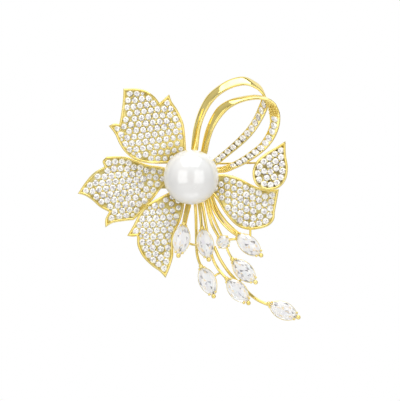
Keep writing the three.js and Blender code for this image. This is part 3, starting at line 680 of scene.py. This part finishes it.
# Each station is the ribbon's front edge and its back edge. The channel of stones runs from the station
# first_stone to last_stone, and beaded lists the stretches whose inner face is covered in beads.
RIBBONS = {
    "ribbon_back": dict(first_stone=12, last_stone=19, beaded=(), stations=[
        ((0.9, -2.7, 4.3), (-0.2, -2.3, 4.4)), ((1.35, -3.1, 6.2), (0, -2.4, 6.2)),
        ((1.6, -3.8, 8.4), (0.2, -2.7, 8.4)), ((2, -4.4, 10.9), (0.6, -3.1, 10.9)),
        ((2.9, -4.9, 13.6), (1.35, -3.4, 13.5)), ((4.2, -5.2, 15.9), (2.4, -3.6, 16)),
        ((5.9, -5.4, 17.8), (3.9, -3.8, 18.2)), ((8, -5.4, 19.2), (6.1, -3.8, 20)),
        ((10.3, -5.2, 20), (8.7, -3.7, 21.4)), ((12.5, -5, 20.1), (11.4, -3.4, 21.9)),
        ((14.5, -4.6, 19.2), (13.6, -3, 21)), ((16, -4.1, 17.5), (15.3, -2.6, 19.6)),
        ((16.7, -3.7, 15.6), (15.6, -2.3, 17.5)), ((16.2, -3.4, 13.9), (14.9, -2.1, 15.5)),
        ((15.2, -3.2, 12), (14, -2, 13.4)), ((13.9, -3.1, 10), (12.7, -2, 11.2)),
        ((12.3, -3.1, 8.2), (11.1, -2, 9.3)), ((10.4, -3.1, 6.5), (9.3, -2.1, 7.5)),
        ((8.4, -3, 4.9), (7.4, -2.2, 5.8)), ((6.6, -2.9, 3.4), (5.6, -2.3, 4.4)),
        ((4.9, -2.8, 2.1), (4, -2.4, 3)),
    ]),
    "ribbon_front": dict(first_stone=11, last_stone=17, beaded=((9, 11), (17, 19)), stations=[
        ((2.9, -2.7, 3.6), (1.9, -2.3, 4)), ((3.4, -3.4, 5.6), (2.2, -2.6, 6)),
        ((4, -4.7, 8.3), (2.65, -3.5, 8.3)), ((4.9, -5.8, 10.7), (3.4, -4.4, 10.9)),
        ((6.2, -6.5, 12.8), (4.45, -5, 13.2)), ((7.9, -7, 14.7), (5.9, -5.4, 15.3)),
        ((9.9, -7.3, 16), (8.1, -5.7, 16.7)), ((12.4, -7.4, 16.85), (11, -5.8, 17.45)),
        ((14.9, -7.3, 17.1), (14, -5.7, 17.8)), ((17.2, -7, 16.7), (16, -5.3, 17.2)),
        ((18.7, -6.6, 15.3), (16.9, -4.9, 15.5)), ((19.35, -6.2, 13.2), (17.2, -4.7, 13.6)),
        ((19.1, -5.8, 10.8), (17.3, -4.5, 11.7)), ((18.1, -5.4, 8.4), (16.6, -4.2, 9.6)),
        ((16.6, -5, 6.4), (15.2, -3.9, 7.4)), ((14.6, -4.5, 4.7), (13.3, -3.5, 5.8)),
        ((12.2, -4, 3.15), (11.2, -3.1, 4.3)), ((9.8, -3.5, 1.95), (9, -2.8, 3.1)),
        ((7.4, -3.1, 1.05), (6.8, -2.5, 2.2)), ((4.9, -2.8, 1), (4.7, -2.4, 1.9)),
    ]),
}
# Section across a strip: share of the way from its front edge to its back edge, and height out of its face.
STRIP_SECTION = ((0, -0.12), (0, 0.12), (0.06, 0.24), (0.25, 0.3), (0.5, 0.33), (0.75, 0.3), (0.94, 0.24),
                 (1, 0.12), (1, -0.12), (0.94, -0.2), (0.75, -0.22), (0.5, -0.22), (0.25, -0.22),
                 (0.06, -0.2))
ROLLED_STATIONS = 10
# The last DARK_BARS bars of each channel are thicker and painted near-black: painted shade between the
# stones.
DARK_BARS = 5
BAR_R, DARK_BAR_R = 0.08, 0.12
RAIL_LIFT = 0.2
RIBBON_BEAD_LIFT = 0.32
CHANNEL_PITCH = 1.46
CHANNEL_STONE_R = 0.92
CHANNEL_STONE_R_ALONG = 0.71
RIBBON_BEAD_R = 0.2


def ribbon_frames(stations):
    """Front edge, back edge and the direction out of the ribbon's outer face, at close steps."""
    both = spline([[*front, *back] for front, back in stations], RIBBON_STEP)
    front, back = both[:, :3], both[:, 3:]
    ahead = np.gradient((front + back) / 2, axis=0)
    out = np.cross(ahead, back - front)
    return front, back, out / np.linalg.norm(out, axis=1)[:, None]


def add_ribbon_beads(shape, front, back, inner):
    """Staggered rows of beads across the inner face of a stretch of ribbon."""
    for row, (f, b, direction) in enumerate(zip(front, back, inner)):
        width = np.linalg.norm(b - f)
        count = int(width / (2.1 * RIBBON_BEAD_R))
        for j in range(count):
            share = (j + 0.5 + 0.4 * (row % 2 - 0.5)) / count
            ball(shape, f + (b - f) * share + direction * RIBBON_BEAD_LIFT,
                 RIBBON_BEAD_R * random.uniform(0.9, 1.2), rows=5, sides=8)


def make_ribbon(name, ribbon):
    front, back, out = ribbon_frames(ribbon["stations"])
    strip, rails, stones, shade_bars = Shape(), Shape(), Shape(), Shape()
    loft(strip, [np.array([f + (b - f) * share + o * lift for share, lift in STRIP_SECTION])
                 for f, b, o in zip(front, back, out)])
    make_piece(f"{name}_strip", strip, GOLD, replaces=[name], smooth=50)

    def sample_at(station):
        return int(np.argmin(np.linalg.norm(front - np.array(ribbon["stations"][station][0]), axis=1)))

    start = sample_at(ribbon["first_stone"])
    inner = -out
    for share in (0.03, 0.97):
        edge = front + (back - front) * share + inner * RAIL_LIFT
        tube(rails, edge[start:], RAIL_R, sides=8)
    for stretch in ribbon["beaded"]:
        first, last = [sample_at(station) for station in stretch]
        add_ribbon_beads(rails, front[first:last + 2:2], back[first:last + 2:2], inner[first:last + 2:2])
    rolled_end = sample_at(ROLLED_STATIONS)
    rolled = front[:rolled_end] + (back - front)[:rolled_end] * 0.08
    tube(rails, rolled, ROLLED_EDGE_R, sides=10)
    middle = (front + back) / 2 + inner * RAIL_LIFT
    end = sample_at(ribbon["last_stone"])
    strides = np.linalg.norm(np.diff(middle[start:end + 1], axis=0), axis=1)
    travelled = np.concatenate([[0], np.cumsum(strides)])
    places = np.arange(0.6, travelled[-1] + 0.8, CHANNEL_PITCH)
    for number, distance in enumerate(places):
        i = start + int(np.searchsorted(travelled, distance))
        along = unit(middle[i + 1] - middle[i])
        width = unit(back[i] - front[i])
        radius = min(CHANNEL_STONE_R, np.linalg.norm(back[i] - front[i]) * 0.46)
        stone_axes = (along * CHANNEL_STONE_R_ALONG / radius, width, inner[i])
        brilliant(stones, middle[i] + inner[i] * 0.05, stone_axes, radius)
        bar = middle[i] + along * CHANNEL_PITCH / 2
        # Bars near the channel's end are painted shade, thicker and near-black.
        dark = len(places) - DARK_BARS <= number + 1 < len(places)
        ends = [bar - width * radius * 0.8, bar + width * radius * 0.8]
        tube(shade_bars if dark else rails, ends, DARK_BAR_R if dark else BAR_R, sides=6)
    make_piece(f"{name}_rails", rails, GOLD)
    make_piece(f"{name}_gaps", shade_bars, GAP_SHADE_GOLD)
    make_piece(f"{name}_stones", stones, STONE, smooth=0)


for ribbon_name, ribbon_data in RIBBONS.items():
    make_ribbon(ribbon_name, ribbon_data)

# ---- marquise and round stones -----------------------------------------------------------------------------
STONE_LENGTH = 6.8
STONE_WIDTH = 3.7
STONE_FULLNESS = 1.5
ROUND_R = 1.4
MARQUISES = {
    "marquise_1": dict(at=(-2.15, -7.1, -13.6), turn=-99.5, tilt=6),
    "marquise_2": dict(at=(3.05, -5.3, -14.5), turn=-78, tilt=-5),
    "marquise_3": dict(at=(3.55, -4.1, -22.7), turn=-67, tilt=7),
    "marquise_4": dict(at=(12.55, -4.7, -14.75), turn=-41, tilt=-6),
    "marquise_5": dict(at=(10.15, -4.8, -24.8), turn=-48, tilt=6),
    "marquise_6": dict(at=(20.15, -4, -29.15), turn=-24.5, tilt=-6),
    "marquise_7": dict(at=(11.5, -5, -20.45), turn=-44.5, tilt=-4),
}
ROUND = dict(at=(7, -4.5, -14.15), turn=10, tilt=0)
# A claw's leg and tip: share of the way out to the point that it holds, and depth behind the girdle.
CLAW_LEG = ((0.86, 0.66), (1.03, 0.2), (1.05, -0.05), (0.99, -0.3))
CLAW_TIP = (1.02, -0.34)
CLAW_R = 0.3
CLAW_TIP_R = 0.46
SMALL_CLAW = 0.55
END_CLAW = 1.1
# The two wires of a setting: share of the stone's outline, depth behind the girdle and radius.
SETTING_RAILS = ((0.99, 0.24, 0.13), (0.74, 0.62, 0.13))


def placer(at, turn, tilt):
    """Turns points about the stone's length by tilt, then in the plane of the flower by turn."""
    t, s = math.radians(turn), math.radians(tilt)
    roll = np.array([[1, 0, 0], [0, math.cos(s), -math.sin(s)], [0, math.sin(s), math.cos(s)]])
    swing = np.array([[math.cos(t), 0, -math.sin(t)], [0, 1, 0], [math.sin(t), 0, math.cos(t)]])
    return lambda points: np.asarray(points, float) @ (swing @ roll).T + np.array(at)


def setting_rails(shape, outline, place):
    """Two thin wires that follow the girdle, one close under it and one deeper, joined at the claws."""
    for share, y, radius in SETTING_RAILS:
        loop = [outline(a, share) for a in np.linspace(0, 2 * math.pi, 65)[:-1]]
        tube(shape, place([[x, y, z] for x, z in loop]), radius, sides=8, closed=True)


def add_claw(shape, place, x, z, size=1.0):
    """A round-tipped claw that laps over the stone's edge."""
    share, y = CLAW_TIP
    tip = place([[x * share, y, z * share]])[0]
    leg = [[x * share, y, z * share] for share, y in CLAW_LEG]
    tube(shape, spline(place(leg), 0.2), CLAW_R * size, sides=10)
    ball(shape, tip, CLAW_TIP_R * size)


def make_marquise(name, spot):
    place = placer(**spot)
    stone, setting = Shape(), Shape()

    def outline(angle, share):
        return marquise_point(angle, STONE_LENGTH / 2 * share, STONE_WIDTH / 2 * share)

    cut_stone(stone, outline, place, table_y=-0.6, culet_y=1.4)
    setting_rails(setting, outline, place)
    for side in (-1, 1):
        add_claw(setting, place, side * (STONE_LENGTH / 2 + 0.1), 0, END_CLAW)
    for degrees in (-152, 152, -34, 34):
        add_claw(setting, place, *outline(math.radians(degrees), 1.0), SMALL_CLAW)
    make_piece(f"{name}_gem", stone, CRYSTAL, replaces=[f"{name}_stone"], smooth=0)
    make_piece(f"{name}_claws", setting, GOLD, replaces=[f"{name}_setting"])


def make_round():
    place = placer(**ROUND)
    stone, setting = Shape(), Shape()

    def outline(angle, share):
        return ROUND_R * share * np.array([math.cos(angle), math.sin(angle)])

    cut_stone(stone, outline, place, table_y=-0.5, culet_y=1.3)
    setting_rails(setting, outline, place)
    for degrees in (45, 135, 225, 315):
        a = math.radians(degrees)
        add_claw(setting, place, (ROUND_R + 0.02) * math.cos(a), (ROUND_R + 0.02) * math.sin(a), SMALL_CLAW)
    make_piece("round_gem", stone, CRYSTAL, replaces=["round_stone"], smooth=0)
    make_piece("round_claws", setting, GOLD, replaces=["round_setting"])


for marquise_name, marquise_spot in MARQUISES.items():
    make_marquise(marquise_name, marquise_spot)
make_round()

# ---- wires -------------------------------------------------------------------------------------------------
# Radius at the start, radius at the end, and the points that the wire passes through.
WIRES = {
    "stem_1": (0.72, 0.5, [(-0.3, -2.5, -4.4), (-0.75, -3.8, -6.6), (-1.25, -5.3, -8.8),
                           (-1.55, -6.6, -10.6)]),
    "stem_2": (0.42, 0.34, [(1.5, -2.4, -4.3), (1.9, -3.6, -7.2), (2.3, -4.8, -11.2)]),
    "stem_3": (0.36, 0.3, [(0.75, -2.3, -4.5), (1, -2.8, -8), (1.1, -2.9, -12), (1.15, -2.9, -15.5),
                           (1.5, -3.1, -17.8), (2.2, -3.7, -19.6)]),
    "stem_4": (0.36, 0.32, [(2.85, -2.3, -3.7), (3.5, -2.9, -6.6), (4.5, -3.4, -10.2), (6, -3.9, -13.1)]),
    "stem_5": (0.42, 0.36, [(3.75, -2.4, -3), (4.9, -3, -6.8), (6.6, -3.5, -9.6), (8.4, -4, -11.5),
                            (10.2, -4.3, -12.8)]),
    "stem_6": (0.36, 0.3, [(2.15, -2.3, -4.2), (2.75, -2.7, -7.6), (3.3, -2.8, -11), (4, -2.8, -15),
                            (4.8, -2.9, -18), (6, -3.2, -20.2), (8, -4.3, -22.5)]),
    "stem_7": (0.36, 0.34, [(5.05, -4.1, -15.2), (6.3, -3.5, -17.9), (8, -3, -20.5), (9.6, -2.7, -22.3),
                            (11.4, -2.6, -24.1), (13, -2.8, -25.7), (14.8, -3.1, -27), (17.4, -3.7, -28.1)]),
    "stem_8": (0.3, 0.28, [(3.3, -2.3, -3.35), (4.25, -3, -7.2), (5.3, -3.4, -9.9), (6.7, -3.9, -12.9)]),
    "stem_9": (0.3, 0.28, [(4.1, -2.3, -2.5), (5.5, -2.9, -6.5), (7.3, -3.4, -9.3), (9.1, -3.9, -11.2),
                           (10.8, -4.3, -12.6)]),
    "strut_1": (0.26, 0.26, [(-0.6, -6.6, -14.4), (0.3, -5, -14.7), (1.1, -3, -14.8)]),
    "strut_2": (0.24, 0.24, [(5, -3.7, -21.7), (5.7, -3.4, -21.2), (6.6, -3.4, -20.9)]),
    "strut_3": (0.26, 0.26, [(8.1, -4.3, -13.7), (9.2, -4.5, -13.55), (10.6, -4.7, -13.6)]),
    "strut_4": (0.28, 0.28, [(7.7, -4.2, -15.2), (8.3, -4.3, -16.7), (9.4, -4.6, -18.5)]),
    "strut_5": (0.26, 0.26, [(12.9, -4.3, -11), (12.9, -4.3, -12.2), (12.9, -4.4, -13.4)]),
    "strut_6": (0.24, 0.24, [(11.2, -4.5, -22), (10.8, -3.7, -22.5), (10.2, -2.7, -22.9)]),
    "curl_wire": (0.22, 0.22, [(4, -1.45, 3), (7, -1.45, 3), (10, -1.6, 3.05), (12.6, -2.6, 3.1),
                               (14.8, -5.2, 3.1)]),
}

for wire_name, (start_r, end_r, route) in WIRES.items():
    wire_shape = Shape()
    wire_path = spline(route, 0.35)
    tube(wire_shape, wire_path, np.linspace(start_r, end_r, len(wire_path)))
    make_piece(f"{wire_name}_wire", wire_shape, GOLD, replaces=[wire_name])

# ---- cast and turned parts that keep their CAD shape -------------------------------------------------------
BEVEL_WIDTH = 0.05
BEVEL_ANGLE = 35
KEPT = ["pearl_cup", "centre_plate", "pin_bar", "hinge_bracket", "hinge_rivet", "pin_stem", "catch_housing",
        "catch_rotor"]


def finish_kept(name):
    """Rounds the edges and smooths the turned faces of a node that stays."""
    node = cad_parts[name]
    weld = node.modifiers.new("weld", "WELD")
    weld.merge_threshold = 1e-6
    bevel = node.modifiers.new("bevel", "BEVEL")
    bevel.width = BEVEL_WIDTH * MM
    bevel.segments = 2
    bevel.limit_method = "ANGLE"
    bevel.angle_limit = math.radians(BEVEL_ANGLE)
    node.data.materials.clear()
    node.data.materials.append(GOLD)
    node.data.polygons.foreach_set("use_smooth", [True] * len(node.data.polygons))
    normal = node.modifiers.new("normal", "WEIGHTED_NORMAL")
    normal.keep_sharp = False


for kept_name in KEPT:
    finish_kept(kept_name)

# ---- studio ------------------------------------------------------------------------------------------------
FLOOR_Z = -250.0
FLOOR_HALF = 3000.0
FLOOR_GLOW = 0.04


def make_floor():
    """A pale floor that lies level under the brooch."""
    mesh = bpy.data.meshes.new("floor")
    corners = [(-FLOOR_HALF, -FLOOR_HALF), (FLOOR_HALF, -FLOOR_HALF), (FLOOR_HALF, FLOOR_HALF),
               (-FLOOR_HALF, FLOOR_HALF)]
    mesh.from_pydata([(x * MM, y * MM, FLOOR_Z * MM) for x, y in corners], [], [(0, 1, 2, 3)])
    floor = Material("studio_floor", Roughness=0.9, Emission_Color=(1, 1, 1, 1), Emission_Strength=FLOOR_GLOW)
    floor.colour(floor.noise(0.02), [(0.3, (0.79, 0.79, 0.79)), (0.7, (0.81, 0.81, 0.81))])
    mesh.materials.append(floor.material)
    stage = bpy.data.objects.new("floor", mesh)
    bpy.context.scene.collection.objects.link(stage)


def make_light(name, azimuth, elevation, distance, width, height, radiance):
    """A soft box seen from the pearl at an azimuth from the front towards +X and an elevation, in degrees."""
    data = bpy.data.lights.new(name, "AREA")
    data.shape = "RECTANGLE"
    data.size = width * MM
    data.size_y = height * MM
    data.energy = radiance * math.pi * data.size * data.size_y
    light = bpy.data.objects.new(name, data)
    bpy.context.scene.collection.objects.link(light)
    a, e = math.radians(azimuth), math.radians(elevation)
    direction = np.array([math.sin(a) * math.cos(e), -math.cos(a) * math.cos(e), math.sin(e)])
    centre = to_row((0, PEARL_Y, 0))
    light.location = centre + direction * distance * MM
    light.rotation_euler = Vector(direction).to_track_quat("Z", "Y").to_euler()


# Brightness of the room from the side that the flower faces (0) to the side behind it (1).
ROOM_SHADES = ((0.15, 0.36), (0.38, 0.6), (0.57, 0.68), (0.6, 0.06), (0.65, 0.06), (0.68, 1.0))


def make_world():
    """A white room whose light on the brooch is weaker from the side that the flower faces."""
    world = bpy.data.worlds.new("room")
    bpy.context.scene.world = world
    world.use_nodes = True
    nodes, links = world.node_tree.nodes, world.node_tree.links
    coordinates = nodes.new("ShaderNodeTexCoord")
    split = nodes.new("ShaderNodeSeparateXYZ")
    shift = nodes.new("ShaderNodeMapRange")
    shift.inputs["From Min"].default_value = -1
    ramp = nodes.new("ShaderNodeValToRGB")
    while len(ramp.color_ramp.elements) < len(ROOM_SHADES):
        ramp.color_ramp.elements.new(1)
    for element, (place, shade) in zip(ramp.color_ramp.elements, ROOM_SHADES):
        element.position = place
        element.color = (shade, shade, shade, 1)
    rays = nodes.new("ShaderNodeLightPath")
    walls = nodes.new("ShaderNodeMix")
    walls.data_type = "RGBA"
    links.new(coordinates.outputs["Generated"], split.inputs["Vector"])
    links.new(split.outputs["Y"], shift.inputs["Value"])
    links.new(shift.outputs["Result"], ramp.inputs["Fac"])
    links.new(rays.outputs["Is Camera Ray"], walls.inputs["Factor"])
    links.new(ramp.outputs["Color"], [socket for socket in walls.inputs if socket.identifier == "A_Color"][0])
    [socket for socket in walls.inputs if socket.identifier == "B_Color"][0].default_value = (1, 1, 1, 1)
    links.new([socket for socket in walls.outputs if socket.identifier == "Result_Color"][0],
              nodes["Background"].inputs["Color"])


make_floor()
make_world()
make_light("top_box", -3, 74, 260, 300, 260, 2.6)
make_light("left_box", -37, 1, 420, 320, 400, 1.15)
make_light("right_box", 34, 1, 420, 320, 400, 1.15)
make_light("low_box", -4, -86, 235, 200, 110, 0.5)
